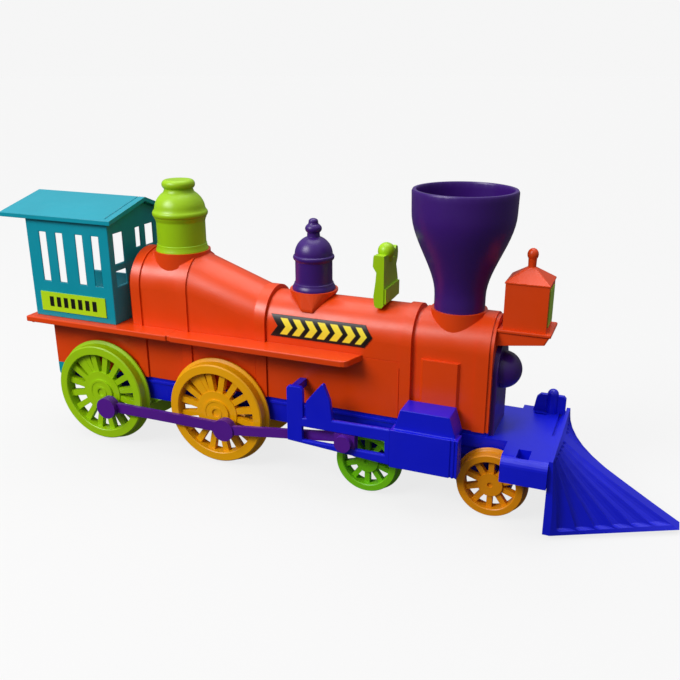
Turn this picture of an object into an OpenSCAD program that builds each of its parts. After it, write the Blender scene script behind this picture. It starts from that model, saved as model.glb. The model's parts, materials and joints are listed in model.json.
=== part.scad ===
// Toy steam locomotive of the 4-4-0 pattern, moulded in bright plastics.
// X runs forward, Y runs to the locomotive's left, Z is up, in millimetres.
// The origin is on the floor, under the middle of the locomotive.
// Side pieces are drawn for the right side (-Y) and mirrored for the left.

/* [Overall] */
// Length from the back edge of the cab roof to the tip of the pilot
overall_l = 300; // [296:1:304]
// Half the width of the boiler's flat sides
boiler_half = 13.2; // [12.8:0.1:13.4]
// Height of the top of the boiler barrel
barrel_top = 79; // [78:0.5:80]
// Height of the top of the firebox
firebox_top = 92; // [91:0.5:93]
// Thickness of the moulded walls
wall = 2; // [1.6:0.1:2.2]

/* [Wheels] */
// Radius of a driving wheel's flange, which runs on the floor
driver_r = 24.5; // [24:0.1:24.8]
// Radius of a small truck wheel's flange
truck_r = 14.5; // [14:0.1:14.6]
// Distance from the wheel's inner face to the centre plane
gauge_half = 14.2; // [14.2:0.1:14.4]
// Number of spokes of a driving wheel
driver_spokes = 16; // [12:1:18]
// Number of spokes of a truck wheel
truck_spokes = 10; // [8:1:12]
// Radius of the driving and truck axles
axle_r = 2; // [1.8:0.1:2.2]
// Radial clearance of every turning fit
fit = 0.05; // [0.03:0.01:0.08]

/* [Valve gear] */
// Crank radius of the driving wheels
crank_r = 8; // [7.5:0.1:8]
// Crank angle of the right side at rest, above the forward direction
crank_angle = -40; // [-45:1:-30]
// Height of the crosshead's slot centre
slot_z = 26.6; // [26:0.1:27]
// Height of the crosshead's slot
slot_h = 6; // [5.6:0.1:6.4]

/* [Cab] */
// Half the width of the cab
cab_half = 19.5; // [19:0.1:20]
// Half the width of the cab roof
roof_half = 21.5; // [21:0.1:22]
// Height of the top of the cab's walls
cab_top = 105.6; // [105:0.1:106]
// Rise of the roof's ridge above its eaves
roof_rise = 6.4; // [5:0.1:7]
// Distance of the ridge from the centre plane, towards the left
ridge_y = 5.5; // [0:0.5:6]

/* [Fittings] */
// Radius of the smokestack's rim
stack_rim_r = 20.2; // [19.5:0.1:20.5]
// Radius of the smokestack's neck
stack_neck_r = 10; // [9.5:0.1:10.4]
// Height of the smokestack's rim
stack_top = 126.5; // [125:0.5:128]
// Radius of the steam dome
steam_dome_r = 10.7; // [10.2:0.1:11]
// Radius of the sand dome
sand_dome_r = 7.8; // [7.5:0.1:8]

/* [Pilot] */
// Half the width of the pilot
pilot_half = 26; // [25:0.5:27]
// Height of the pilot's top edge
pilot_top = 33; // [32:0.5:34]
// Number of ribs on each flank of the pilot
pilot_ribs = 6; // [5:1:7]

/* [Hidden] */
$fn = 96;

// Colours of the plastics
orange = [0.87, 0.25, 0.06];
teal = [0.0, 0.55, 0.65];
lime = [0.60, 0.78, 0.04];
leaf = [0.43, 0.74, 0.04];
yellow = [0.95, 0.71, 0.04];
amber = [0.86, 0.53, 0.0];
purple = [0.22, 0.08, 0.42];
violet = [0.33, 0.10, 0.55];
blue = [0.05, 0.07, 0.75];
steel = [0.6, 0.6, 0.62];

// Stations along the locomotive
roof_back = -overall_l / 2;
pilot_tip = overall_l / 2;
roof_front = -89.5;
cab_back = -137.3;
cab_front = -92.6;
skirt_back = -134;
coupler_front = -126;
firebox_back = -86;
taper_back = -57.5;
taper_front = -20.5;
boiler_front = 43.7;
smokebox_back = 46;
smokebox_end = 76;
rear_driver_x = -105.5;
front_driver_x = -43.5;
rear_truck_x = 27.6;
front_truck_x = 79.2;
stack_x = 59;
sand_dome_x = -3.7;
steam_dome_x = -67.7;
chassis_front = smokebox_end + 8;
truck_back = 20;
truck_front = 88;
deck_back = 60;
beam_back = 85;
beam_front = 101.5;
pilot_back = beam_front;
cylinder_front = 64.2;

// Heights
chassis_bottom = 22.8;
skirt_bottom = 34;
board_bottom = 56.8;
board_top = 59.5;
deck_top = 32.2;
neck_top = 84;
sand_dome_z = 81.3;
stack_z = 79.9;

// Widths, measured out from the centre plane
chassis_half = 12.4;
firebox_half = 15;
neck_half = 7.5;
board_half = 23.5;
beam_half = 28;
beam_left = 25;
deck_half = 13.4;
deck_left = 20.4;
band_proud = 0.7;
groove = 0.5;
steam_dome_z = firebox_top + band_proud;
skirt_band_proud = 0.7;

// Wheel sections
driver_w = 5.8;
driver_tread_r = driver_r - 1.3;
driver_rim_r = 18.8;
driver_disc_r = 10;
balance_turn = 162;
balance_half = 13;
balance_r = driver_rim_r + 0.4;
truck_w = 5.4;
truck_tread_r = truck_r - 1.1;
truck_rim_r = 10.2;
truck_disc_r = 4.9;
truck_frame_half = 11.5;
truck_axle_r = axle_r - 0.5;
crank_pin_r = 1.5;

// Running planes of the rods, measured out from the centre plane
side_rod_y = gauge_half + 6.1;
side_rod_t = 1.7;
main_rod_y = side_rod_y + side_rod_t + 0.15;
main_rod_t = 1.7;
boss_y = main_rod_y + main_rod_t + 0.6;
boss_r = 5;
guide_y = 24.9;
guide_t = 2;
cylinder_half = guide_y + guide_t;

// Main rod: its back end is on the front crank pin and its front end at the crosshead
crosshead_x = 20.8;
slot_back = 2;
slot_front = 38;
// The left side's cranks stand a quarter turn ahead of the right side's.
function side_angle(side) = side < 0 ? crank_angle : crank_angle + 90;
function crank_dx(side) = crank_r * cos(side_angle(side));
function crank_z(side) = driver_r + crank_r * sin(side_angle(side));
// Length of the main rod between its two centres
main_rod_l = norm([crosshead_x - front_driver_x - crank_dx(-1), slot_z - crank_z(-1)]);
// Slope of a side's main rod at rest, and where its crosshead stands
function rod_tilt(side) = asin((slot_z - crank_z(side)) / main_rod_l);
function crosshead_rest(side) = front_driver_x + crank_dx(side) + main_rod_l * cos(rod_tilt(side));

// ---------------------------------------------------------------- helpers

// Places right-side work on the right (-1) or the left (+1) side.
module on_side(side) {
    mirror([0, side > 0 ? 1 : 0, 0]) children();
}

// Turns a flat outline in X and Z into a slab from y0 outwards on the right side.
module right_slab(y0, t) {
    translate([0, -y0, 0]) rotate([90, 0, 0]) linear_extrude(t) children();
}

// A wheel or axle drawn along Z, set across the locomotive at an axle.
module on_axle(x, r, y0) {
    translate([x, -y0, r]) rotate([90, 0, 0]) children();
}

// Tunnel outline: flat sides and a round top, standing on z0.
module arch(half, z0, top) {
    translate([-half, z0]) square([2 * half, top - half - z0]);
    translate([0, top - half]) intersection() {
        circle(half);
        translate([-half, 0]) square([2 * half, half]);
    }
}

// Tunnel section drawn along X from x0 to x1.
module tunnel(x0, x1, half, z0, top) {
    translate([x0, 0, 0]) rotate([90, 0, 90]) linear_extrude(x1 - x0) arch(half, z0, top);
}

// Box given by its low and high corners.
module block(low, high) {
    translate(low) cube(high - low);
}

// Points of a quarter of an ellipse from the outer edge up, between two angles.
function dome_arc(r, h, z, a0, a1, steps) =
    [for (i = [0:steps]) let (a = a0 + (a1 - a0) * i / steps) [r * cos(a), z + h * sin(a)]];

// Points of a bead round the axis, an ellipse of half axes rb and hb centred at radius rc.
function bead_arc(rc, rb, hb, z, a0, a1, steps) =
    [for (i = [0:steps]) let (a = a0 + (a1 - a0) * i / steps) [rc + rb * cos(a), z + hb * sin(a)]];

// Smooth step from 0 to 1.
function ease(t) = t * t * (3 - 2 * t);

// ---------------------------------------------------------------- frame

screw_xs = [-116, -74, 2, 35];
truck_screw_xs = [42, 66];
screw_r = 1.4;
screw_head_r = 2.8;

module screw_hole(x, z0) {
    translate([x, 0, z0 - 1]) cylinder(h = 20, r = screw_r + 0.02);
    translate([x, 0, z0 - 1]) cylinder(h = 2.4, r = screw_head_r + 0.1);
}

module chassis() {
    color(blue) difference() {
        union() {
            block([coupler_front, -chassis_half, chassis_bottom],
                  [chassis_front, chassis_half, skirt_bottom]);
            // bead along both sides, under the boiler
            block([coupler_front, -chassis_half - 0.5, skirt_bottom - 3],
                  [40, chassis_half + 0.5, skirt_bottom - 2]);
            // axle boxes of the driving wheels
            for (x = [rear_driver_x, front_driver_x])
                block([x - 4.5, -chassis_half, driver_r - axle_r - 1.8],
                      [x + 4.5, chassis_half, chassis_bottom]);
        }
        for (x = [rear_driver_x, front_driver_x])
            translate([x, 20, driver_r]) rotate([90, 0, 0]) cylinder(h = 40, r = axle_r + fit);
        for (x = screw_xs) screw_hole(x, chassis_bottom);
        for (x = truck_screw_xs)
            translate([x, 0, chassis_bottom - 1]) cylinder(h = 9, r = screw_r + 0.02);
        // seat for the deck
        block([deck_back, -20, deck_top - 5], [pilot_tip, 20, skirt_bottom + 1]);
        // wells that lighten the chassis from above
        for (x = [-100, -40, -20]) block([x, -8, chassis_bottom + 3], [x + 14, 8, skirt_bottom + 1]);
    }
}

module truck_frame() {
    frame_bottom = 9;
    color(blue) difference() {
        union() {
            block([truck_back, -truck_frame_half, 15], [truck_front, truck_frame_half, chassis_bottom]);
            for (x = [rear_truck_x, front_truck_x])
                block([x - 7, -truck_frame_half, frame_bottom], [x + 7, truck_frame_half, 15]);
        }
        for (x = [rear_truck_x, front_truck_x])
            translate([x, 20, truck_r]) rotate([90, 0, 0]) cylinder(h = 40, r = truck_axle_r + fit);
        for (x = truck_screw_xs) {
            translate([x, 0, 14]) cylinder(h = 10, r = screw_r + 0.02);
            translate([x, 0, 14]) cylinder(h = 2.4, r = screw_head_r + 0.1);
        }
        // open middle between the two axles
        block([46, -8, 14], [62, 8, chassis_bottom - 2]);
    }
}

module countersunk_screw(x, z0, l) {
    translate([x, 0, z0 + 0.3]) difference() {
        union() {
            cylinder(h = 1, r = screw_head_r);
            cylinder(h = l, r = screw_r);
        }
        // cross recess
        for (a = [0, 90]) rotate([0, 0, a]) translate([-1.5, -0.35, -0.1]) cube([3, 0.7, 0.8]);
    }
}

module chassis_screws() {
    color(steel) for (x = screw_xs) countersunk_screw(x, chassis_bottom, 18);
}

module truck_screws() {
    color(steel) for (x = truck_screw_xs) countersunk_screw(x, 15, 11);
}

socket_x = 91.7;
// The right and the left socket, measured from the centre plane
socket_ys = [-22, 20.5];
socket_depth = 4;
beam_edge_r = 3.5;

// Points of a rounded corner, about its centre.
function corner_arc(y, z, r, a0, a1) =
    [for (i = [0:6]) let (a = a0 + (a1 - a0) * i / 6) [y + r * cos(a), z + r * sin(a)]];

// The cross beam's section: its right top edge is well rounded.
module beam_section() {
    z0 = chassis_bottom - 0.8;
    polygon(concat(
        [[beam_left, z0]],
        corner_arc(beam_left - 1, deck_top - 1, 1, 0, 90),
        corner_arc(-beam_half + beam_edge_r, deck_top - beam_edge_r, beam_edge_r, 90, 180),
        [[-beam_half, z0]]
    ));
}

module front_deck() {
    color(blue) difference() {
        union() {
            block([cylinder_front, -deck_half, deck_top - 5], [beam_back, deck_left, deck_top]);
            block([deck_back, -chassis_half, deck_top - 5], [smokebox_end, chassis_half, skirt_bottom]);
            translate([beam_back - 1, 0, 0]) rotate([90, 0, 90]) linear_extrude(beam_front - beam_back + 1)
                beam_section();
        }
        // room for the chassis and the truck
        block([deck_back - 1, -chassis_half, chassis_bottom - 2],
              [chassis_front, chassis_half, deck_top - 5]);
        block([80, -chassis_half, 0], [truck_front + 0.02, chassis_half, chassis_bottom]);
        // groove in front of the left half of the deck
        block([beam_front - 2.3, -2, deck_top - 1.2], [beam_front - 1.1, beam_left - 2, deck_top + 1]);
        // two square sockets
        for (y = socket_ys)
            translate([socket_x - 2.4, y - 3.6, deck_top - socket_depth]) cube([4.8, 7.2, 10]);
        // hollows under the beam, open below
        for (ys = [[-26.5, -15.5], [14, 23.4]])
            block([beam_back + 1, ys[0], chassis_bottom - 2], [beam_front - 2, ys[1], chassis_bottom + 3]);
        // clearance over the front truck wheels
        for (s = [-1, 1])
            translate([front_truck_x, s * (gauge_half + 2.7) + 3.6, truck_r]) rotate([90, 0, 0])
                cylinder(h = 7.2, r = truck_r + 1.2);
    }
}

module marker_post() {
    y = socket_ys[1];
    plate_top = deck_top + 7.6;
    post_x = socket_x + 4.2;
    plate_back = socket_x - 3.4;
    plate_front = beam_front - 0.2;
    color(blue) {
        // peg in the left socket
        block([socket_x - 2.3, y - 2.4, deck_top - socket_depth], [socket_x + 2.3, y + 2.4, deck_top]);
        // upright plate with rounded shoulders
        translate([0, y + 2, 0]) rotate([90, 0, 0]) linear_extrude(2.2)
            polygon([
                [plate_back, deck_top], [plate_front, deck_top],
                [plate_front, plate_top - 1], [plate_front - 1, plate_top],
                [plate_back + 2.6, plate_top], [plate_back + 1, plate_top - 1.6]
            ]);
        // round post in front of the plate
        translate([post_x, y + 0.3, deck_top]) cylinder(h = 8.2, r = 2.3);
        translate([post_x, y + 0.3, deck_top + 8.2]) sphere(2.3);
    }
}

pilot_bottom = 2;
rib_cols = 6;
pilot_edge_cols = 2;
ridge_cols = 5;
pilot_cols = ridge_cols + pilot_ribs * rib_cols + pilot_edge_cols;
ridge_share = ridge_cols / pilot_cols;
rib_proud = 2.2;
pilot_base = 0.7;
// Rows of the pilot's face, as fractions of the way down it
pilot_ts = [0, 0.04, 0.08, 0.18, 0.3, 0.42, 0.55, 0.68, 0.8, 0.92, 0.95, 1];

// Share of the rib height at a column counted from the centre ridge.
function rib_shape(c) =
    c <= ridge_cols || c >= pilot_cols - pilot_edge_cols ? 1
    : let (k = (c - ridge_cols) % rib_cols) k == 0 ? 1 : k == 1 || k == 5 ? 0.35 : 0;

// The top rim and the bottom bar run across all the ribs.
function bar_shape(t) = t < 0.05 || t > 0.94 ? 1 : 0;

// The ribs are low at the top, where they start.
function rib_height(t) = rib_proud * min(1, 0.35 + t);

// Point of the face: s runs across it from -1 to 1 and t down it from 0 to 1. The middle is a flat ridge.
function pilot_point(s, t, proud) =
    let (a = max(abs(s), ridge_share), reach = pilot_tip - pilot_back - pilot_base - rib_proud)
    [
        pilot_back + pilot_base + (1 - a) / (1 - ridge_share) * reach * pow(t, 1.18) + proud,
        s * pilot_half,
        pilot_top - (pilot_top - pilot_bottom) * t
    ];

// Loop round the edge of a grid, clockwise seen from the front.
function grid_loop(rows, cols) = concat(
    [for (j = [0:cols - 2]) j],
    [for (i = [0:rows - 2]) i * cols + cols - 1],
    [for (j = [0:cols - 2]) rows * cols - 1 - j],
    [for (i = [0:rows - 2]) (rows - 1 - i) * cols]
);

// Two triangles of every cell of a grid, clockwise seen from the front.
function grid_faces(rows, cols) = [
    for (i = [0:rows - 2]) for (j = [0:cols - 2])
        let (a = i * cols + j, b = a + 1, c = b + cols, d = a + cols)
            each [[a, b, c], [a, c, d]]
];

// Ribbed wedge with a flat back, which fans out from its middle.
module ribbed_wedge() {
    rows = len(pilot_ts);
    cols = 2 * pilot_cols + 1;
    loop = grid_loop(rows, cols);
    m = len(loop);
    front = [
        for (t = pilot_ts) for (j = [-pilot_cols:pilot_cols])
            pilot_point(j / pilot_cols, t, rib_height(t) * max(rib_shape(abs(j)), bar_shape(t)))
    ];
    back = [for (k = loop) [pilot_back, front[k][1], front[k][2]]];
    n = len(front);
    polyhedron(
        points = concat(front, back, [[pilot_back, 0, (pilot_top + pilot_bottom) / 2]]),
        faces = concat(
            grid_faces(rows, cols),
            [for (k = [0:m - 1]) each [
                [loop[(k + 1) % m], loop[k], n + k],
                [loop[(k + 1) % m], n + k, n + (k + 1) % m]
            ]],
            [for (k = [0:m - 1]) [n + (k + 1) % m, n + k, n + m]]
        ),
        convexity = 8
    );
}

module pilot() {
    color(blue) difference() {
        ribbed_wedge();
        // hollow behind the ribbed face, open at the back and below
        hull() {
            translate([0, 0, pilot_bottom - 1]) linear_extrude(0.1)
                polygon([
                    [pilot_back - 1, -pilot_half + 4], [pilot_tip - 13, 0], [pilot_back - 1, pilot_half - 4]
                ]);
            block([pilot_back - 1, -0.5, pilot_top - 4], [pilot_back + 0.2, 0.5, pilot_top - 3]);
        }
    }
}

coupler_pin_r = 2;
coupler_bottom = 26.6;
coupler_r = 3;

// End cap of the chassis, with a hole below for the tender's coupling pin.
module rear_coupler() {
    color(teal) difference() {
        translate([0, boiler_half, 0]) rotate([90, 0, 0]) linear_extrude(2 * boiler_half) {
            translate([skirt_back + coupler_r, coupler_bottom])
                square([coupler_front - skirt_back - coupler_r, skirt_bottom - coupler_bottom]);
            translate([skirt_back, coupler_bottom + coupler_r])
                square([coupler_r, skirt_bottom - coupler_bottom - coupler_r]);
            translate([skirt_back + coupler_r, coupler_bottom + coupler_r]) circle(coupler_r);
        }
        translate([(skirt_back + coupler_front) / 2, 0, coupler_bottom - 1])
            cylinder(h = 7, r = coupler_pin_r);
    }
}

// ---------------------------------------------------------------- boiler

// Raised bands round the upper boiler: back, front, half width and top of each.
upper_bands = [
    [firebox_back, -81.4, firebox_half, firebox_top],
    [-62.5, taper_back, firebox_half, firebox_top],
    [-25.5, taper_front, boiler_half + 0.5, barrel_top + 1.2],
    [39.3, boiler_front, boiler_half, barrel_top]
];

module taper(grow) {
    hull() {
        tunnel(taper_back - 0.01, taper_back, firebox_half + grow, board_top, firebox_top + grow);
        tunnel(taper_front, taper_front + 0.01, boiler_half + grow, board_top, barrel_top + grow);
    }
}

module sand_dome_saddle() {
    hull() {
        translate([sand_dome_x, 0, sand_dome_z - 0.8]) cylinder(h = 0.8, r = 10.2, $fn = 32);
        for (s = [-1, 1])
            translate([sand_dome_x - 1, s * 11 - 0.3, 74]) cube([5, 0.6, 1]);
    }
}

module boiler_body() {
    // skirt below the running boards
    block([skirt_back, -boiler_half, skirt_bottom], [boiler_front, boiler_half, board_top + 5]);
    tunnel(firebox_back, taper_back, firebox_half, board_top, firebox_top);
    // narrow neck up to the cab's front wall
    tunnel(cab_front, firebox_back, neck_half, board_top, neck_top);
    taper(0);
    tunnel(taper_front, boiler_front, boiler_half, board_top, barrel_top);
    for (b = upper_bands) {
        tunnel(b[0], b[1], b[2] + band_proud, board_top, b[3] + band_proud);
        block([b[0], -boiler_half - skirt_band_proud, skirt_bottom],
              [b[1], boiler_half + skirt_band_proud, board_top]);
    }
    // round seat of the steam dome
    translate([steam_dome_x, 0, 80]) cylinder(h = steam_dome_z - 80, r = 12.4);
    sand_dome_saddle();
}

module firebox_hollow(x0, x1) {
    tunnel(x0, x1, firebox_half - wall, board_top, firebox_top - wall);
}

module boiler_shell() {
    color(orange) difference() {
        boiler_body();
        // hollow inside, open below
        difference() {
            union() {
                block([skirt_back + wall, -boiler_half + wall, skirt_bottom - 1],
                      [boiler_front - wall, boiler_half - wall, board_top + 6]);
                firebox_hollow(firebox_back + wall, taper_back - 4);
                tunnel(taper_front, boiler_front - wall, boiler_half - wall, board_top, barrel_top - wall);
                hull() {
                    firebox_hollow(taper_back - 5, taper_back - 4);
                    tunnel(taper_front, taper_front + 1, boiler_half - wall, board_top, barrel_top - wall);
                }
            }
            // cross walls with the screw posts
            for (x = screw_xs) {
                block([x - 0.8, -boiler_half, skirt_bottom], [x + 0.8, boiler_half, 50]);
                translate([x, 0, skirt_bottom]) cylinder(h = 16, r = 3.2);
            }
            // floor behind the firebox, under the cab
            block([skirt_back, -boiler_half, board_bottom],
                  [firebox_back + wall, boiler_half, board_top + 6]);
        }
        // grooves beside the bands, on the skirt
        for (b = upper_bands) for (x = [b[0] - groove, b[1]]) for (s = [-1, 1])
            translate([x, s * (boiler_half + 0.2) - 0.7, skirt_bottom - 1])
                cube([groove, 1.4, board_bottom - skirt_bottom]);
        // groove round the barrel in front of the taper's band
        difference() {
            tunnel(taper_front, taper_front + groove, boiler_half + 1, board_bottom, barrel_top + 1);
            tunnel(taper_front - 1, taper_front + 1, boiler_half - 0.5, board_bottom - 1, barrel_top - 0.5);
        }
        // fine seam along each side, ahead of the running boards
        for (s = [-1, 1])
            translate([board_front + 2, s * boiler_half - 0.15, 58.3]) cube([17, 0.3, 0.3]);
        // nothing of the skirt block stands above the footplate under the cab
        block([skirt_back - 1, -boiler_half - 1, board_top], [cab_front, boiler_half + 1, board_top + 20]);
        for (s = [-1, 1])
            translate([cab_front - 1, s * (neck_half + 5) - 5, board_top])
                cube([firebox_back - cab_front + 1, 10, 20]);
        for (x = screw_xs) translate([x, 0, skirt_bottom - 1]) cylinder(h = 10, r = screw_r + 0.02);
    }
}

panel_back = 48;
panel_front = 63.8;
panel_top = 61.4;
panel_proud = 1.3;

module smokebox_shell() {
    color(orange) difference() {
        union() {
            tunnel(smokebox_back, smokebox_end, boiler_half, skirt_bottom, barrel_top);
            // front rim in two steps
            tunnel(69.6, 74.6, boiler_half + band_proud, skirt_bottom, barrel_top + band_proud);
            // narrow neck that enters the back of the rim of the boiler
            tunnel(boiler_front, smokebox_back, boiler_half - 1.2, skirt_bottom, barrel_top - 1.2);
            // raised side panels with sloped ends
            translate([0, 0, skirt_bottom + 1]) linear_extrude(panel_top - skirt_bottom - 1)
                polygon([
                    [panel_back, -boiler_half], [panel_back + 0.9, -boiler_half - panel_proud],
                    [panel_front - 0.9, -boiler_half - panel_proud], [panel_front, -boiler_half],
                    [panel_front, boiler_half], [panel_front - 0.9, boiler_half + panel_proud],
                    [panel_back + 0.9, boiler_half + panel_proud], [panel_back, boiler_half]
                ]);
            // seat of the smokestack
            translate([stack_x, 0, 70]) cylinder(h = stack_z - 70, r = stack_neck_r + 1.1);
        }
        tunnel(smokebox_back, smokebox_end - wall, boiler_half - wall, skirt_bottom - 1, barrel_top - wall);
    }
}

module smokebox_front() {
    color(purple) {
        tunnel(smokebox_end, smokebox_end + 1.8, 11, deck_top, 68.4);
        intersection() {
            translate([smokebox_end + 1.8, 0, 56.7]) sphere(7.6);
            block([smokebox_end + 0.5, -10, 45], [smokebox_end + 12, 10, 68]);
        }
    }
}

module headlamp_bracket() {
    shelf_z = 75.8;
    color(orange) {
        // shelf with a lip, and its tapered underside
        block([smokebox_end, -8.8, shelf_z - 1.4], [96.2, 8.8, shelf_z]);
        translate([0, 8.2, 0]) rotate([90, 0, 0]) linear_extrude(16.4)
            polygon([
                [smokebox_end, shelf_z - 1.4], [95.6, shelf_z - 1.4],
                [94, 71.2], [smokebox_end, 68.8]
            ]);
    }
}

lamp_back = 77.8;
lamp_front = 94;
lamp_half = 7.5;
lamp_z = 75.8;
lamp_top = 93.6;
lens_half = 5.4;

module headlamp_case() {
    mid = (lamp_back + lamp_front) / 2;
    color(orange) {
        difference() {
            block([lamp_back, -lamp_half, lamp_z], [lamp_front, lamp_half, lamp_top]);
            // window that holds the lens
            block([lamp_front - 1.2, -lens_half, lamp_z + 1.6], [lamp_front + 1, lens_half, lamp_top - 1.6]);
        }
        // low pyramid roof
        hull() {
            block([lamp_back - 0.3, -lamp_half - 0.3, lamp_top],
                  [lamp_front + 0.3, lamp_half + 0.3, lamp_top + 0.5]);
            translate([mid, 0, lamp_top + 5.4]) cylinder(h = 0.1, r = 1.6, $fn = 32);
        }
        // finial
        translate([mid, 0, lamp_top + 5]) rotate_extrude()
            polygon(concat([[0, 0], [1.5, 0], [1.6, 3.6]], dome_arc(2.1, 2.4, 5.2, -40, 90, 10)));
    }
}

module headlamp_lens() {
    color(lime)
        block([lamp_front - 1.2, -lens_half, lamp_z + 1.6], [lamp_front + 0.3, lens_half, lamp_top - 1.6]);
}

// ---------------------------------------------------------------- boiler fittings

stack_bell_z = 85;
stack_shoulder_z = 118;
stack_steps = 14;

// Outer radius of the smokestack at a height.
function stack_r(z) =
    stack_neck_r + (stack_rim_r - 0.2 - stack_neck_r)
    * ease(min(1, max(0, (z - stack_bell_z) / (stack_shoulder_z - stack_bell_z))));

module smokestack() {
    bowl_z = 92;
    outer = [for (i = [0:stack_steps])
        let (z = stack_bell_z + (stack_shoulder_z - stack_bell_z) * i / stack_steps) [stack_r(z), z]];
    inner = [for (i = [0:stack_steps])
        let (z = stack_shoulder_z - (stack_shoulder_z - bowl_z) * i / stack_steps) [stack_r(z) - 1.7, z]];
    color(purple) translate([stack_x, 0, 0]) rotate_extrude()
        polygon(concat(
            [[0, stack_z], [stack_neck_r, stack_z]],
            outer,
            [[stack_rim_r, stack_top - 0.8], [stack_rim_r - 0.4, stack_top], [stack_rim_r - 1.6, stack_top]],
            [[stack_rim_r - 2, stack_top - 0.8]],
            inner,
            [[0, bowl_z - 1.5]]
        ));
}

module sand_dome() {
    r = sand_dome_r;
    z = sand_dome_z;
    color(purple) translate([sand_dome_x, 0, 0]) rotate_extrude()
        polygon(concat(
            [[0, z], [r + 1.4, z], [r + 1.2, z + 1], [r + 0.5, z + 2.2]],
            [[r + 0.5, z + 2.6], [r + 0.1, z + 2.8]],
            [[r, z + 4], [r, z + 12], [r + 0.7, z + 12.8]],
            [[r + 0.9, z + 13.5], [r + 0.7, z + 14.2], [r + 0.2, z + 14.5]],
            dome_arc(r + 0.2, 8, z + 14.5, 8, 70, 8),
            [[2.6, z + 23.6]],
            dome_arc(3.5, 2.4, z + 25.4, -40, 50, 8),
            dome_arc(2, 1.3, z + 28.4, -10, 90, 8)
        ));
}

module steam_dome() {
    r = steam_dome_r;
    z = steam_dome_z;
    cap_z = z + 17.6;
    color(lime) translate([steam_dome_x, 0, 0]) rotate_extrude()
        polygon(concat(
            [[0, z], [r + 0.9, z], [r + 0.5, z + 1.2], [r + 0.25, z + 2.4]],
            [[r + 0.25, z + 2.7], [r, z + 2.9]],
            [[r, z + 12.6], [r + 0.3, z + 13.6], [r + 0.7, z + 14.4]],
            bead_arc(r, 1.4, 1.6, z + 16.2, -60, 60, 8),
            dome_arc(r + 0.4, 9.6, cap_z, 5, 52, 10),
            [[6.3, cap_z + 8.6]],
            bead_arc(5.3, 1.9, 2, cap_z + 11, -60, 90, 10),
            [[0, cap_z + 13]]
        ));
}

bell_back = 25.4;
bell_front = 30.1;
bell_base = 78.4;

// The casting seen from the front: a wide foot, a waist and an arm at each side.
module bell_front_outline() {
    polygon([
        [-8.3, bell_base], [8.4, bell_base], [9.6, 79.6], [10.2, 84.4], [9.2, 88.4], [7.3, 93.2],
        [8.9, 95.8], [9.3, 98.2], [8.7, 100.3], [7.5, 101.1], [6.1, 100.6], [5.2, 99.2], [4.4, 96.8],
        [-1, 97.5], [-4, 99.5], [-8.3, 99.7]
    ]);
}

// The casting seen from the side.
module bell_side_outline() {
    polygon([
        [bell_back + 1.4, bell_base], [bell_back + 0.8, 79.4], [bell_back + 0.4, 83], [bell_back + 1.2, 89],
        [bell_back + 1.5, 92.8], [bell_back, 95.2], [bell_back + 0.2, 98.8], [bell_back + 0.8, 102],
        [bell_front - 0.6, 102], [bell_front, 101], [bell_front, 79.4], [bell_front - 0.8, bell_base]
    ]);
}

module bell() {
    mid = (bell_back + bell_front) / 2;
    color(lime) difference() {
        union() {
            intersection() {
                translate([bell_back - 1, 0, 0]) rotate([90, 0, 90])
                    linear_extrude(bell_front - bell_back + 2) bell_front_outline();
                translate([0, 12, 0]) rotate([90, 0, 0]) linear_extrude(24) bell_side_outline();
            }
            // the bell's round top between the arms
            translate([mid + 0.4, 0.2, 96]) cylinder(h = 4, r = 2.7);
            translate([mid + 0.4, 0.2, 100]) sphere(3.5);
            // raised panel on the front of the foot
            block([bell_front - 0.5, -7.9, 80.2], [bell_front + 0.9, 9.2, 86.2]);
        }
        tunnel(taper_front, boiler_front, boiler_half, 20, barrel_top);
    }
}

// ---------------------------------------------------------------- cab and boards

cab_wall = 1.3;
// Slots of the right wall: the middle of each, and their width, height and sill
side_slots = [-128.45, -119.35, -108.45, -99.75];
slot_w = 3.9;
side_slot_h = 22.9;
side_slot_z = 76.5;
// Windows of the left wall: the middle and the width of each, and their height and sill
left_windows = [[-129.9, 10.4], [-116.8, 7.4], [-102.2, 11.6]];
left_window_h = 27.2;
left_window_z = 72.2;
// Front windows: low and high corner of each, in Y and Z.
front_windows = [
    [[-16, 86.4], [-9, 100.2]],
    [[-16, 76.3], [-8.4, 83.4]],
    [[0.2, 90.9], [4, 100.2]],
    [[7.7, 90.4], [14, 100.2]]
];

// Cutter for a window of a cab wall, standing on z = 0. The wall's outer face is at y = 0 and
// the inside is towards +Y, where the window widens at 45 degrees.
module window_cut(w, h) {
    lip = 0.4;
    depth = cab_wall + 0.3;
    flare = depth - lip;
    linear_extrude(h) polygon([
        [-w / 2, -1], [w / 2, -1], [w / 2, lip], [w / 2 + flare, depth],
        [-w / 2 - flare, depth], [-w / 2, lip]
    ]);
}

// Height of the roof's underside above the eaves, at a distance y from the centre plane.
function roof_at(y) =
    y < ridge_y
        ? roof_rise * (roof_half + y) / (roof_half + ridge_y)
        : roof_rise * (roof_half - y) / (roof_half - ridge_y);
eave_z = cab_top - roof_at(-cab_half);

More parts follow.
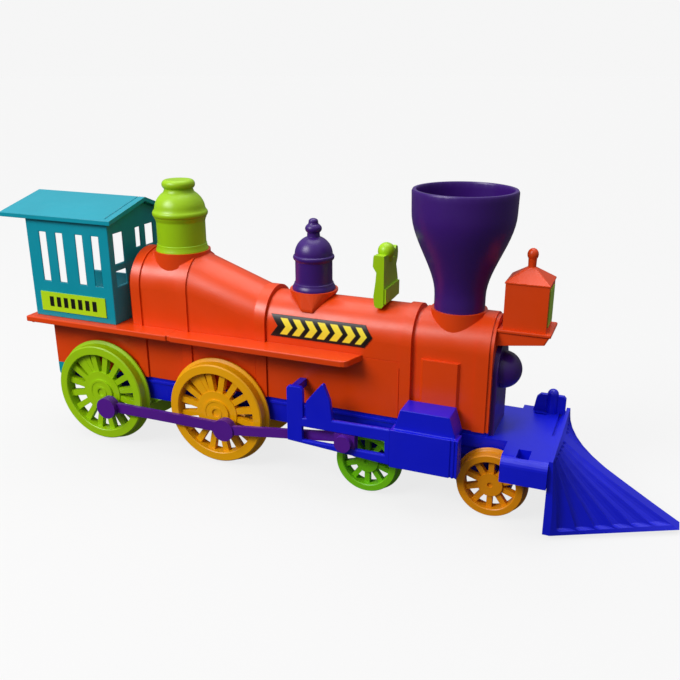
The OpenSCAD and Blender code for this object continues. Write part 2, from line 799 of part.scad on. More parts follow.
module cab_walls() {
    color(teal) difference() {
        translate([cab_back, 0, 0]) rotate([90, 0, 90]) linear_extrude(cab_front - cab_back)
            polygon([
                [-cab_half, board_top], [cab_half, board_top], [cab_half, eave_z + roof_at(cab_half)],
                [ridge_y, eave_z + roof_rise], [-cab_half, cab_top]
            ]);
        // inside, open at the back and above
        block([cab_back - 1, -cab_half + cab_wall, board_top - 1],
              [cab_front - cab_wall, cab_half - cab_wall, cab_top + 10]);
        for (x = side_slots) translate([x, -cab_half, side_slot_z]) window_cut(slot_w, side_slot_h);
        for (w = left_windows)
            on_side(1) translate([w[0], -cab_half, left_window_z]) window_cut(w[1], left_window_h);
        for (w = front_windows)
            translate([cab_front, (w[0][0] + w[1][0]) / 2, w[0][1]]) rotate([0, 0, 90])
                window_cut(w[1][0] - w[0][0], w[1][1] - w[0][1]);
    }
}

// The roof's section: its underside lifted by low and its top by high, cut short by inset at both eaves.
module roof_section(low, high, inset) {
    ys = [-roof_half + inset, ridge_y, roof_half - inset];
    polygon(concat(
        [for (y = ys) [y, eave_z + roof_at(y) + low]],
        [for (k = [2, 1, 0]) [ys[k], eave_z + roof_at(ys[k]) + high]]
    ));
}

module cab_roof() {
    roof_t = 2;
    groove_depth = 0.4;
    color(teal) difference() {
        translate([roof_back, 0, 0]) rotate([90, 0, 90]) linear_extrude(roof_front - roof_back)
            roof_section(0, roof_t, 0);
        // fine groove behind the front edge
        translate([roof_front - 4, 0, 0]) rotate([90, 0, 90]) linear_extrude(groove)
            roof_section(roof_t - groove_depth, roof_t + 1, 2);
    }
}

board_split = -64;
board_front = 20.6;

module rear_footplate() {
    color(orange) difference() {
        union() {
            block([-140.5, -board_half, board_bottom], [board_split, board_half, board_top]);
            // turned-down back edge
            block([-140.5, -board_half + 3, board_bottom - 1.5], [-139, board_half - 3, board_bottom]);
        }
        block([skirt_back, -boiler_half, 0], [0, boiler_half, 100]);
        for (b = upper_bands)
            block([b[0], -boiler_half - skirt_band_proud, 0], [b[1], boiler_half + skirt_band_proud, 100]);
    }
}

module running_board(side) {
    color(orange) on_side(side) difference() {
        translate([0, 0, board_bottom]) linear_extrude(board_top - board_bottom)
            polygon([
                [board_split, -board_half + 0.6], [board_split + 1.5, -board_half + 0.6],
                [board_split + 2.1, -board_half], [board_front - 3, -board_half],
                [board_front - 1.4, -board_half + 0.4], [board_front - 0.3, -board_half + 1.4],
                [board_front + 0.2, -board_half + 3], [board_front + 2.6, -boiler_half],
                [board_split, -boiler_half]
            ]);
        for (b = upper_bands)
            block([b[0], -boiler_half - skirt_band_proud, 0], [b[1], 0, 100]);
    }
}

module cab_plate(side) {
    color(lime) on_side(side)
        block([-133.2, -cab_half - 0.4, 62.4], [-97.2, -cab_half, 71.4]);
}

// Curved sticker on the barrel's side, its ends cut like arrows.
module boiler_emblem(side) {
    x0 = -18;
    x1 = 27.4;
    z0 = 62.7;
    z1 = 71.8;
    notch = 3.4;
    color(yellow) on_side(side) intersection() {
        difference() {
            tunnel(x0, x1, boiler_half + 0.4, board_top, barrel_top + 0.4);
            tunnel(x0 - 1, x1 + 1, boiler_half, board_top - 1, barrel_top);
        }
        translate([0, -9, 0]) rotate([90, 0, 0]) linear_extrude(6)
            polygon([
                [x0, z0], [x1 - notch, z0], [x1, (z0 + z1) / 2],
                [x1 - notch, z1], [x0, z1], [x0 + notch, (z0 + z1) / 2]
            ]);
    }
}

// ---------------------------------------------------------------- cylinders and gear

module cylinder_block(side) {
    color(blue) on_side(side) {
        // body between the two truck wheels
        block([42.6, -20.6, 18.8], [cylinder_front, -chassis_half, skirt_bottom]);
        // wide outer part
        difference() {
            block([40, -cylinder_half, 18.8], [67.5, -20.6, 35]);
            // ribs at the front edge
            for (x = [64.6, 66.2]) block([x, -cylinder_half - 1, 18], [x + 0.7, -cylinder_half + 0.5, 36]);
        }
        block([42.6, -20.6, skirt_bottom], [66, -boiler_half - panel_proud, 35]);
        // steam chest with sloped ends
        translate([0, -boiler_half - panel_proud, 0]) rotate([90, 0, 0]) linear_extrude(10.7)
            polygon([[41.2, 35], [66, 35], [63.4, 43.5], [43.6, 43.5]]);
    }
}

module crosshead_guide(side) {
    color(blue) on_side(side) right_slab(guide_y, guide_t) difference() {
        polygon([
            [-4.8, 22.4], [40, 19.4], [40, 35], [15.5, 34.6], [14.5, 42.9], [11.7, 49.9], [11.1, 49.9],
            [4, 41.2], [4, 33.8], [2.5, 33.6], [2.5, 46], [1.6, 47], [-3.9, 47], [-4.8, 46]
        ]);
        translate([slot_back, slot_z - slot_h / 2]) square([slot_front - slot_back, slot_h]);
    }
}

module guide_yoke(side) {
    color(blue) on_side(side)
        block([-4.5, -guide_y, 42.2], [-1.5, -boiler_half, 45.6]);
}

// Outline of a rod along X from its back centre: two eyes and a bar between them.
module rod_outline(l, eye_a, eye_b, bar_h) {
    circle(eye_a);
    translate([l, 0]) circle(eye_b);
    translate([0, -bar_h / 2]) square([l, bar_h]);
}

module side_rod(side) {
    l = front_driver_x - rear_driver_x;
    color(violet) on_side(side) translate([rear_driver_x + crank_dx(side), 0, crank_z(side)]) difference() {
        union() {
            right_slab(side_rod_y, side_rod_t) rod_outline(l, boss_r, boss_r - 0.3, 4.6);
            // thick boss over the rear pin
            right_slab(side_rod_y, boss_y - side_rod_y) circle(boss_r);
        }
        right_slab(side_rod_y - 1, boss_y - side_rod_y) circle(crank_pin_r + fit);
        translate([l, 0, 0]) right_slab(side_rod_y - 1, side_rod_t + 2) circle(crank_pin_r + fit);
    }
}

module main_rod(side) {
    color(violet) on_side(side)
        translate([front_driver_x + crank_dx(side), 0, crank_z(side)]) difference() {
            union() {
                rotate([0, -rod_tilt(side), 0])
                    right_slab(main_rod_y, main_rod_t) rod_outline(main_rod_l, boss_r, 3.2, 4);
                right_slab(main_rod_y, boss_y - main_rod_y) circle(boss_r);
            }
            right_slab(main_rod_y - 1, boss_y - main_rod_y) circle(crank_pin_r + fit);
        }
}

module crosshead(side) {
    shoe_h = slot_h / 2 - 0.08;
    outer_y = guide_y + guide_t + 0.1;
    color(violet) on_side(side) translate([crosshead_rest(side), 0, slot_z]) {
        block([-4.5, -outer_y, -shoe_h], [4.5, -guide_y + 0.1, shoe_h]);
        // inner flange that keeps it in the slot
        block([-5, -guide_y + 0.08, -shoe_h - 0.7], [5, -guide_y + 0.5, shoe_h + 0.7]);
        // round knob outside
        translate([0, 0, -0.6]) right_slab(outer_y, 2.4) circle(3.5);
    }
}

// ---------------------------------------------------------------- wheels

// Tapered spokes between two radii, drawn flat.
module spokes(count, r0, r1, w0, w1) {
    for (i = [0:count - 1])
        rotate([0, 0, 360 * (i + 0.5) / count])
            polygon([[r0, -w0 / 2], [r1, -w1 / 2], [r1, w1 / 2], [r0, w0 / 2]]);
}

// Driving wheel along Z, its inner face at z = 0; the crank stands at the given angle.
module driver_wheel(angle) {
    difference() {
        union() {
            rotate_extrude() polygon([
                [driver_rim_r, 0.3], [driver_r - 0.4, 0], [driver_r, 0.5], [driver_r, 1.2],
                [driver_tread_r, 1.8],
                [driver_tread_r - 0.2, driver_w - 0.5], [driver_tread_r - 0.7, driver_w],
                [driver_rim_r + 0.3, driver_w], [driver_rim_r, driver_w - 0.3]
            ]);
            translate([0, 0, 1.2]) linear_extrude(2.6)
                spokes(driver_spokes, driver_disc_r - 0.6, driver_rim_r + 0.4, 2.6, 2.9);
            // balance weight, nearly opposite the crank, with a square notch
            translate([0, 0, 1.2]) rotate([0, 0, angle + balance_turn]) linear_extrude(2.4) difference() {
                polygon([
                    [0, 0], [balance_r * cos(balance_half), -balance_r * sin(balance_half)], [balance_r, 0],
                    [balance_r * cos(balance_half), balance_r * sin(balance_half)]
                ]);
                translate([11.8, -0.9]) square(1.8);
            }
            translate([0, 0, 1]) cylinder(h = 3.2, r = driver_disc_r);
            translate([0, 0, chassis_half + 0.7 - gauge_half]) cylinder(h = 3, r = 3.8);
            // raised hub ring
            translate([0, 0, 4]) cylinder(h = 1, r = 6.2);
            rotate([0, 0, angle]) translate([crank_r, 0, 4]) cylinder(h = 1.2, r = 3.2);
        }
        translate([0, 0, -5]) cylinder(h = 8.4, r = axle_r + 0.02);
        translate([0, 0, 4.4]) cylinder(h = 2, r = 1.9);
        translate([0, 0, 4.8]) difference() {
            cylinder(h = 1, r = 5.2);
            cylinder(h = 1, r = 3);
        }
        rotate([0, 0, angle]) translate([crank_r, 0, 1.4]) cylinder(h = 6, r = crank_pin_r + 0.02);
    }
}

// Small wheel along Z, its inner face at z = 0.
module truck_wheel() {
    difference() {
        union() {
            rotate_extrude() polygon([
                [truck_rim_r, 0.3], [truck_r - 0.4, 0], [truck_r, 0.5], [truck_r, 1.1], [truck_tread_r, 1.6],
                [truck_tread_r - 0.2, truck_w - 0.4], [truck_tread_r - 0.5, truck_w],
                [truck_rim_r + 0.3, truck_w], [truck_rim_r, truck_w - 0.3]
            ]);
            translate([0, 0, 1.2]) linear_extrude(2.4)
                spokes(truck_spokes, truck_disc_r - 0.6, truck_rim_r + 0.4, 2.2, 2.2);
            translate([0, 0, 1]) cylinder(h = 3.4, r = truck_disc_r);
            translate([0, 0, truck_frame_half + 0.2 - gauge_half]) cylinder(h = 4, r = 3.2);
        }
        translate([0, 0, -5]) cylinder(h = 8.4, r = truck_axle_r + 0.02);
        translate([0, 0, 3.6]) cylinder(h = 2, r = 1.1);
    }
}

module rear_driver(side) {
    color(lime) on_side(side) on_axle(rear_driver_x, driver_r, gauge_half)
        driver_wheel(side_angle(side));
}

module front_driver(side) {
    color(yellow) on_side(side) on_axle(front_driver_x, driver_r, gauge_half)
        driver_wheel(side_angle(side));
}

module truck_wheel_at(x, side) {
    on_side(side) on_axle(x, truck_r, gauge_half) truck_wheel();
}

module axle(x, z, half, r) {
    color(steel) translate([x, half, z]) rotate([90, 0, 0]) cylinder(h = 2 * half, r = r);
}

module crank_pin(x, side) {
    inner_y = gauge_half + 1.5;
    color(steel) on_side(side) translate([x + crank_dx(side), 0, crank_z(side)])
        right_slab(inner_y, boss_y - 1.2 - inner_y) circle(crank_pin_r);
}

// ---------------------------------------------------------------- the nodes

chassis();
truck_frame();
front_deck();
marker_post();
pilot();
rear_coupler();
chassis_screws();
truck_screws();
boiler_shell();
smokebox_shell();
smokebox_front();
headlamp_bracket();
headlamp_case();
headlamp_lens();
smokestack();
sand_dome();
steam_dome();
bell();
cab_walls();
cab_roof();
rear_footplate();
running_board(-1);  // running_board_right
running_board(1);  // running_board_left
cab_plate(-1);  // cab_plate_right
cab_plate(1);  // cab_plate_left
boiler_emblem(-1);  // boiler_emblem_right
boiler_emblem(1);  // boiler_emblem_left
cylinder_block(-1);  // cylinder_block_right
cylinder_block(1);  // cylinder_block_left
crosshead_guide(-1);  // crosshead_guide_right
crosshead_guide(1);  // crosshead_guide_left
guide_yoke(-1);  // guide_yoke_right
guide_yoke(1);  // guide_yoke_left
axle(rear_driver_x, driver_r, gauge_half + 3.2, axle_r);  // rear_driver_axle
rear_driver(-1);  // rear_driver_right
rear_driver(1);  // rear_driver_left
crank_pin(rear_driver_x, -1);  // rear_crank_pin_right
crank_pin(rear_driver_x, 1);  // rear_crank_pin_left
axle(front_driver_x, driver_r, gauge_half + 3.2, axle_r);  // front_driver_axle
front_driver(-1);  // front_driver_right
front_driver(1);  // front_driver_left
crank_pin(front_driver_x, -1);  // front_crank_pin_right
crank_pin(front_driver_x, 1);  // front_crank_pin_left
side_rod(-1);  // side_rod_right
side_rod(1);  // side_rod_left
main_rod(-1);  // main_rod_right
main_rod(1);  // main_rod_left
crosshead(-1);  // crosshead_right
crosshead(1);  // crosshead_left
axle(rear_truck_x, truck_r, gauge_half + 3.2, truck_axle_r);  // rear_truck_axle
color(leaf) truck_wheel_at(rear_truck_x, -1);  // rear_truck_wheel_right
color(leaf) truck_wheel_at(rear_truck_x, 1);  // rear_truck_wheel_left
axle(front_truck_x, truck_r, gauge_half + 3.2, truck_axle_r);  // front_truck_axle
color(amber) truck_wheel_at(front_truck_x, -1);  // front_truck_wheel_right
color(amber) truck_wheel_at(front_truck_x, 1);  // front_truck_wheel_left
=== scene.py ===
"""Toy steam locomotive: moulded plastics, rounded edges, studio and camera.

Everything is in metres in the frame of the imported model: +X forward, +Z up,
and the side the camera sees is the locomotive's right side, at -Y.
"""
import json
import math

import bmesh
import bpy
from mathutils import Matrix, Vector


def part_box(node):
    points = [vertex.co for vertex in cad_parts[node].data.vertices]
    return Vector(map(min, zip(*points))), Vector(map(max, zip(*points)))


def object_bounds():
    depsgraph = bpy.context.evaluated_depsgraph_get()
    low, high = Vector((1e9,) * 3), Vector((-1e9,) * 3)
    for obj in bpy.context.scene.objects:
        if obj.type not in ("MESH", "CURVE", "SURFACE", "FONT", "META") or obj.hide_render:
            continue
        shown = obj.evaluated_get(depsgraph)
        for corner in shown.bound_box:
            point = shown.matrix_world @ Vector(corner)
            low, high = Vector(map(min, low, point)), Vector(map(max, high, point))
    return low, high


MM = 0.001
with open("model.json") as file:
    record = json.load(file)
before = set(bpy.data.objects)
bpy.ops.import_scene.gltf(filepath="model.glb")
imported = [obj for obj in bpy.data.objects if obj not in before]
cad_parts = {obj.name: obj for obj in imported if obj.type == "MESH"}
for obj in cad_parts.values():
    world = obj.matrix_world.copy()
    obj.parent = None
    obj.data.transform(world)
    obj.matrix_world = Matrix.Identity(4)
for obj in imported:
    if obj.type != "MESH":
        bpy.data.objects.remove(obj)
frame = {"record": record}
CAD_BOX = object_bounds()
SLOT_OF = {part["node"]: part["material_slot"] for part in frame["record"]["subparts"]}


# ---------------------------------------------------------------- small helpers

def srgb(red, green, blue):
    """Linear colour of an 8-bit screen colour."""
    def linear(c):
        c = c / 255
        return c / 12.92 if c <= 0.04045 else ((c + 0.055) / 1.055) ** 2.4
    return (linear(red), linear(green), linear(blue), 1.0)


def scaled(colour, factor):
    """The colour made lighter or darker."""
    return tuple(min(1.0, c * factor) for c in colour[:3]) + (1.0,)


def grey(level):
    """Neutral linear colour."""
    return (level, level, level, 1.0)


class Shader:
    """Builds one node material, with short names for the nodes it needs."""

    def __init__(self, name):
        self.material = bpy.data.materials.new(name)
        self.material.use_nodes = True
        self.tree = self.material.node_tree
        self.tree.nodes.clear()
        self.output = self.tree.nodes.new("ShaderNodeOutputMaterial")
        self.principled = self.node("ShaderNodeBsdfPrincipled")
        self.link(self.principled.outputs[0], self.output.inputs["Surface"])
        self.coordinates = self.node("ShaderNodeTexCoord").outputs["Object"]

    def node(self, kind, **settings):
        """A new node of this kind, with its settings."""
        made = self.tree.nodes.new(kind)
        for key, value in settings.items():
            setattr(made, key, value)
        return made

    def link(self, source, target):
        """Joins an output socket to an input socket."""
        self.tree.links.new(source, target)

    def put(self, target, value):
        """Links a socket, or sets a plain value."""
        if isinstance(value, bpy.types.NodeSocket):
            self.link(value, target)
        else:
            target.default_value = value

    def set(self, socket, value):
        """Links or sets one input of the material's own shader."""
        self.put(self.principled.inputs[socket], value)

    def noise(self, scale, detail=3.0, roughness=0.5, vector=None):
        """Noise from 0 to 1, on the piece's own coordinates unless told otherwise."""
        made = self.node("ShaderNodeTexNoise")
        made.inputs["Scale"].default_value = scale
        made.inputs["Detail"].default_value = detail
        made.inputs["Roughness"].default_value = roughness
        self.link(vector or self.coordinates, made.inputs["Vector"])
        return made.outputs["Fac"]

    def math(self, operation, first, second=0.0):
        """One step of arithmetic on sockets or numbers."""
        made = self.node("ShaderNodeMath", operation=operation)
        self.put(made.inputs[0], first)
        self.put(made.inputs[1], second)
        return made.outputs[0]

    def remap(self, value, low, high, to_low=0.0, to_high=1.0):
        """Moves a value from one range to another, clamped at both ends."""
        made = self.node("ShaderNodeMapRange")
        self.put(made.inputs["Value"], value)
        made.inputs["From Min"].default_value = low
        made.inputs["From Max"].default_value = high
        made.inputs["To Min"].default_value = to_low
        made.inputs["To Max"].default_value = to_high
        return made.outputs["Result"]

    def band(self, value, low, high, soft):
        """1 between low and high, and 0 outside, with each edge spread over soft to either side."""
        rise = self.remap(value, low - soft, low + soft)
        fall = self.remap(value, high - soft, high + soft, 1.0, 0.0)
        return self.math("MULTIPLY", rise, fall)

    def mix(self, factor, first, second):
        """The first colour where factor is 0, and the second where it is 1."""
        made = self.node("ShaderNodeMix", data_type="RGBA")
        self.put(made.inputs["Factor"], factor)
        self.put(made.inputs["A"], first)
        self.put(made.inputs["B"], second)
        return made.outputs["Result"]

    def bump(self, height, distance, strength):
        """Surface relief of this depth."""
        made = self.node("ShaderNodeBump")
        made.inputs["Strength"].default_value = strength
        made.inputs["Distance"].default_value = distance
        self.link(height, made.inputs["Height"])
        return made.outputs["Normal"]

    def xyz(self):
        """The three coordinates of the point on the piece."""
        made = self.node("ShaderNodeSeparateXYZ")
        self.link(self.coordinates, made.inputs[0])
        return made.outputs


# ---------------------------------------------------------------- plastics and steel

# noises, with scales per metre
CLOUDS = {"scale": 18.0, "detail": 2.0}
FLOW_MARKS = {"scale": 55.0, "detail": 4.0, "roughness": 0.6}
HAZE = {"scale": 90.0, "detail": 3.0, "roughness": 0.6}
ORANGE_PEEL = {"scale": 300.0, "detail": 1.0}
TURNING_MARKS = {"scale": 300.0, "detail": 3.0, "roughness": 0.6}
PAPER_GRAIN = {"scale": 40.0, "detail": 3.0}

CLOUD_SHARE = 0.65                   # of the colour's variation; the rest is flow marks
TONE_SPAN = (0.35, 0.65)             # part of the noise that runs from darkest to lightest
TONES = (0.92, 1.06)                 # darkest and lightest, against the moulding's colour
HAZE_SPAN = (0.3, 0.75)
PLASTIC_ROUGHNESS = (0.285, 0.415)
PLASTIC_IOR = 1.5
PLASTIC_SPECULAR = 0.46
PEEL_DEPTH = 0.00005                 # metres
PEEL_STRENGTH = 0.2

STEEL_TONES = (srgb(150, 150, 156), srgb(205, 205, 210))
TURNING_SPAN = (0.3, 0.7)
STEEL_ROUGHNESS = (0.22, 0.42)
TURNING_STRETCH = (1.0, 12.0, 1.0)   # closest along Y, the way every axle lies
TURNING_DEPTH = 0.00002              # metres
TURNING_STRENGTH = 0.4


def moulded_plastic(name, colour, paint=None):
    """Injection-moulded plastic: colour clouds, flow marks, handling haze and orange peel.

    paint(shader, base) may return another base colour socket, for a print on top.
    """
    shader = Shader(name)
    clouds = shader.math("MULTIPLY", shader.noise(**CLOUDS), CLOUD_SHARE)
    flow = shader.math("MULTIPLY", shader.noise(**FLOW_MARKS), 1.0 - CLOUD_SHARE)
    tone = shader.remap(shader.math("ADD", clouds, flow), *TONE_SPAN)
    base = shader.mix(tone, *(scaled(colour, factor) for factor in TONES))
    if paint:
        base = paint(shader, base)
    shader.set("Base Color", base)
    shader.set("Roughness", shader.remap(shader.noise(**HAZE), *HAZE_SPAN, *PLASTIC_ROUGHNESS))
    shader.set("Normal", shader.bump(shader.noise(**ORANGE_PEEL), PEEL_DEPTH, PEEL_STRENGTH))
    shader.set("IOR", PLASTIC_IOR)
    shader.set("Specular IOR Level", PLASTIC_SPECULAR)
    return shader.material


def turned_steel(name):
    """Turned steel of axles, pins and screws."""
    shader = Shader(name)
    stretch = shader.node("ShaderNodeMapping")
    stretch.inputs["Scale"].default_value = TURNING_STRETCH
    shader.link(shader.coordinates, stretch.inputs["Vector"])
    marks = shader.noise(vector=stretch.outputs[0], **TURNING_MARKS)
    shader.set("Base Color", shader.mix(marks, *STEEL_TONES))
    shader.set("Metallic", 1.0)
    shader.set("Roughness", shader.remap(marks, *TURNING_SPAN, *STEEL_ROUGHNESS))
    shader.set("Normal", shader.bump(marks, TURNING_DEPTH, TURNING_STRENGTH))
    return shader.material


# ---------------------------------------------------------------- prints on the stickers

BLACK = srgb(16, 14, 12)
MARK_SOFT = 0.03                     # softness of a mark's edges, as part of the pitch
ROW_END_SOFT = 0.1 * MM

BLOCK_COLUMNS = 9                    # across the plate; the outer two stay empty
BLOCK_SPAN = (0.2, 0.8)              # part of each column's width that is black
PLATE_MARGIN_BELOW = 2.2 * MM
PLATE_MARGIN_ABOVE = 2.0 * MM
BLOCK_SOFT = 0.15 * MM

CHEVRON_PITCH = 5.6 * MM
CHEVRON_SPAN = (0.26, 0.84)          # part of each pitch that is yellow
CHEVRON_SLOPE = 0.75                 # run for each step away from the middle line
EMBLEM_BORDER = 1.1 * MM
CHEVRON_SOFT = 0.12 * MM


def repeated(shader, distance, pitch, span):
    """1 on the same part of every pitch along a distance."""
    cell = shader.math("FRACT", shader.math("DIVIDE", distance, pitch))
    return shader.band(cell, *span, MARK_SOFT)


def all_of(shader, marks, row, row_ends):
    """1 where the marks show: inside the row and between its ends."""
    return shader.math("MULTIPLY", shader.math("MULTIPLY", marks, row), row_ends)


def lime_plate_print(shader, base):
    """Row of bold black blocks inside the border of the cab's lime plate."""
    low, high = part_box("cab_plate_right")
    x, _, z = shader.xyz()
    pitch = (high[0] - low[0]) / BLOCK_COLUMNS
    blocks = repeated(shader, shader.math("SUBTRACT", x, low[0]), pitch, BLOCK_SPAN)
    row = shader.band(z, low[2] + PLATE_MARGIN_BELOW, high[2] - PLATE_MARGIN_ABOVE, BLOCK_SOFT)
    row_ends = shader.band(x, low[0] + pitch, high[0] - pitch, ROW_END_SOFT)
    return shader.mix(all_of(shader, blocks, row, row_ends), base, BLACK)


def chevron_print(shader, base):
    """Black band with a row of chevrons in the sticker's own yellow."""
    low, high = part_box("boiler_emblem_right")
    x, _, z = shader.xyz()
    from_middle = shader.math("ABSOLUTE", shader.math("SUBTRACT", z, (low[2] + high[2]) / 2))
    along = shader.math("SUBTRACT", x, low[0])
    slanted = shader.math("ADD", along, shader.math("MULTIPLY", from_middle, CHEVRON_SLOPE))
    chevrons = repeated(shader, slanted, CHEVRON_PITCH, CHEVRON_SPAN)
    row = shader.band(z, low[2] + EMBLEM_BORDER, high[2] - EMBLEM_BORDER, CHEVRON_SOFT)
    row_end = high[0] - low[0] - 2 * EMBLEM_BORDER
    row_ends = shader.band(slanted, CHEVRON_PITCH, row_end, ROW_END_SOFT)
    return shader.mix(all_of(shader, chevrons, row, row_ends), BLACK, base)


COLOURS = {
    "boiler_orange": srgb(224, 66, 2),
    "cab_teal": srgb(0, 146, 166),
    "fitting_lime": srgb(158, 204, 6),
    "wheel_green": srgb(110, 190, 10),
    "driver_yellow": srgb(242, 170, 0),
    "wheel_amber": srgb(218, 136, 0),
    "stack_purple": srgb(58, 20, 112),
    "rod_violet": srgb(84, 22, 140),
    "chassis_blue": srgb(8, 20, 204),
    "plate_lime": srgb(182, 222, 20),
    "emblem_yellow": srgb(250, 228, 60),
}

PAINTS = {"plate_lime": lime_plate_print, "emblem_yellow": chevron_print}

materials = {
    slot: moulded_plastic(slot, colour, PAINTS.get(slot))
    for slot, colour in COLOURS.items()
}
materials["steel"] = turned_steel("steel")


# ---------------------------------------------------------------- edges of the mouldings

EDGE_R = 0.45 * MM
SOFT_EDGE_R = 0.7 * MM
EDGE_SEGMENTS = 2
EDGE_FROM_DEGREES = 32     # a fold sharper than this is an edge
WELD_DISTANCE = 0.00001    # metres

STICKERS = ("cab_plate_right", "cab_plate_left", "boiler_emblem_right", "boiler_emblem_left")
SOFTER_EDGES = ("front_deck", "cylinder_block_right", "cylinder_block_left", "marker_post",
                "crosshead_guide_right", "crosshead_guide_left", "bell")


def wear(thing, material):
    """Puts one material on every slot of a piece, and leaves its mesh alone."""
    if not thing.material_slots:
        thing.data.materials.append(None)
    for slot in thing.material_slots:
        slot.link = "OBJECT"
        slot.material = material


def round_edges(thing, radius):
    """Gives a piece the small edge radius that catches the light."""
    weld = thing.modifiers.new("weld", "WELD")
    weld.merge_threshold = WELD_DISTANCE
    bevel = thing.modifiers.new("edge_radius", "BEVEL")
    bevel.width = radius
    bevel.segments = EDGE_SEGMENTS
    bevel.limit_method = "ANGLE"
    bevel.angle_limit = math.radians(EDGE_FROM_DEGREES)
    bevel.harden_normals = False
    normals = thing.modifiers.new("normals", "WEIGHTED_NORMAL")
    normals.keep_sharp = True


for node, slot_name in SLOT_OF.items():
    piece = bpy.data.objects[node]
    wear(piece, materials[slot_name])
    if node not in STICKERS:
        round_edges(piece, SOFT_EDGE_R if node in SOFTER_EDGES else EDGE_R)


# ---------------------------------------------------------------- floor and backdrop

BACKDROP_GLOW = 0.92
FLOOR_GLOW = 0.8
FLOOR_BASE = 0.1
FLOOR_HALF = 9.0           # metres; the floor goes past the dome all round
DOME_RADIUS = 8.0
DOME_MERIDIANS = 48
DOME_RINGS = 24
PAPER_GRAIN_TONE = 1.01    # the paper's lighter tone against its darker one


def glow(name, strength, base=0.0):
    """Matt paper that also gives out some light of its own."""
    shader = Shader(name)
    grain = shader.noise(**PAPER_GRAIN)
    shader.set("Base Color", shader.mix(grain, grey(base), grey(base * PAPER_GRAIN_TONE)))
    shader.set("Roughness", 1.0)
    shader.set("Specular IOR Level", 0.0)
    shader.set("Emission Color", grey(1.0))
    shader.set("Emission Strength", strength)
    return shader.material


def stage_object(name, mesh, material):
    """Adds something round the locomotive that throws no light on it and isn't mirrored in it."""
    thing = bpy.data.objects.new(name, mesh)
    thing.visible_diffuse = False
    thing.visible_glossy = False
    bpy.context.collection.objects.link(thing)
    mesh.materials.append(material)
    return thing


def add_floor():
    """Plain floor under the wheels."""
    mesh = bpy.data.meshes.new("floor")
    half = FLOOR_HALF
    corners = [(-half, -half, 0), (half, -half, 0), (half, half, 0), (-half, half, 0)]
    mesh.from_pydata(corners, [], [(0, 1, 2, 3)])
    floor = stage_object("floor", mesh, glow("floor_paper", FLOOR_GLOW, FLOOR_BASE))
    floor.location.z = CAD_BOX[0][2]


def add_backdrop():
    """Pale dome round the stage, which hides where the floor ends and lets the light in."""
    shape = bmesh.new()
    bmesh.ops.create_uvsphere(shape, u_segments=DOME_MERIDIANS, v_segments=DOME_RINGS, radius=DOME_RADIUS)
    mesh = bpy.data.meshes.new("backdrop")
    shape.to_mesh(mesh)
    shape.free()
    backdrop = stage_object("backdrop", mesh, glow("backdrop_paper", BACKDROP_GLOW))
    backdrop.visible_shadow = False


# ---------------------------------------------------------------- lights and camera

KEY_DIRECTION = (0.45, 0.62, -0.65)
KEY_STRENGTH = 1.0
KEY_SPREAD = 24            # degrees
OVERHEAD_DIRECTION = (0.1, -0.2, -1.0)
OVERHEAD_STRENGTH = 1.5
OVERHEAD_SPREAD = 50       # degrees
SOFTBOX_PLACE = (-0.30, -0.40, 0.40)
SOFTBOX_AIM = (-0.07, 0.0, 0.07)
SOFTBOX_SIZE = (0.4, 0.22)
SOFTBOX_WATTS = 1.7

SKY_BELOW = (0.35, 0.08)   # place on the ramp from nadir to zenith, and brightness
SKY_HORIZON = (0.55, 0.17)
SKY_ABOVE = (1.0, 0.78)

CAMERA_PLACE = (0.1287, -0.2970, 0.1730)
CAMERA_TARGET = (0.0081, 0.0, 0.0595)
CAMERA_LENS = 42.23        # millimetres, as is the sensor
CAMERA_SENSOR = 36


def facing(direction):
    """Rotation that turns a light or a camera to look this way."""
    return Vector(direction).to_track_quat("-Z", "Y").to_euler()


def add_object(name, data, direction, place=(0.0, 0.0, 0.0)):
    """Puts a light or a camera in the scene."""
    thing = bpy.data.objects.new(name, data)
    thing.location = place
    thing.rotation_euler = facing(direction)
    bpy.context.collection.objects.link(thing)
    return thing


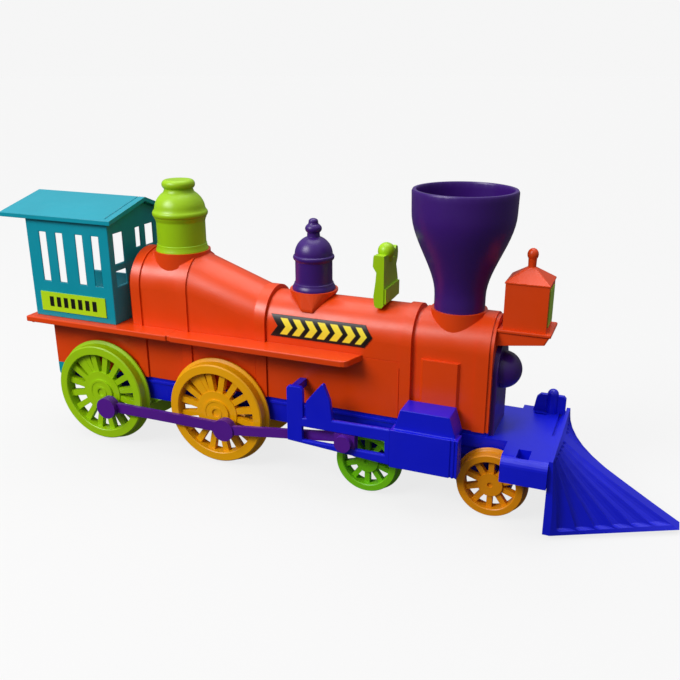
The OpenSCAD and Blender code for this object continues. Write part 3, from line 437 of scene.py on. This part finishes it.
def add_sun(name, direction, strength, spread):
    """Far light with a soft edge to its shadows."""
    lamp = bpy.data.lights.new(name, "SUN")
    lamp.energy = strength
    lamp.angle = math.radians(spread)
    add_object(name, lamp, direction)


def add_softbox(name, place, aim, size, watts):
    """Rectangular light, out of the camera's sight."""
    lamp = bpy.data.lights.new(name, "AREA")
    lamp.shape = "RECTANGLE"
    lamp.size, lamp.size_y = size
    lamp.energy = watts
    light = add_object(name, lamp, Vector(aim) - Vector(place), place)
    light.visible_camera = False


def add_world(below, horizon, above):
    """Soft sky: darkest below, brightest overhead."""
    world = bpy.data.worlds.new("studio")
    bpy.context.scene.world = world
    world.use_nodes = True
    nodes, links = world.node_tree.nodes, world.node_tree.links
    direction = nodes.new("ShaderNodeTexCoord")
    height = nodes.new("ShaderNodeSeparateXYZ")
    ramp = nodes.new("ShaderNodeValToRGB")
    scale = nodes.new("ShaderNodeMapRange")
    scale.inputs["From Min"].default_value = -1.0
    links.new(direction.outputs["Generated"], height.inputs[0])
    links.new(height.outputs["Z"], scale.inputs["Value"])
    links.new(scale.outputs["Result"], ramp.inputs["Fac"])
    stops = ramp.color_ramp.elements
    stops.new(horizon[0])
    for stop, (place, level) in zip(stops, (below, horizon, above)):
        stop.position = place
        stop.color = grey(level)
    links.new(ramp.outputs["Color"], nodes["Background"].inputs["Color"])


def add_camera():
    """The one camera."""
    data = bpy.data.cameras.new("camera")
    data.sensor_width = CAMERA_SENSOR
    data.lens = CAMERA_LENS
    direction = Vector(CAMERA_TARGET) - Vector(CAMERA_PLACE)
    bpy.context.scene.camera = add_object("camera", data, direction, CAMERA_PLACE)


add_floor()
add_backdrop()
add_sun("key", KEY_DIRECTION, KEY_STRENGTH, KEY_SPREAD)
add_sun("overhead", OVERHEAD_DIRECTION, OVERHEAD_STRENGTH, OVERHEAD_SPREAD)
add_softbox("left_softbox", SOFTBOX_PLACE, SOFTBOX_AIM, SOFTBOX_SIZE, SOFTBOX_WATTS)
add_world(SKY_BELOW, SKY_HORIZON, SKY_ABOVE)
add_camera()
bpy.context.scene.view_settings.view_transform = "Standard"
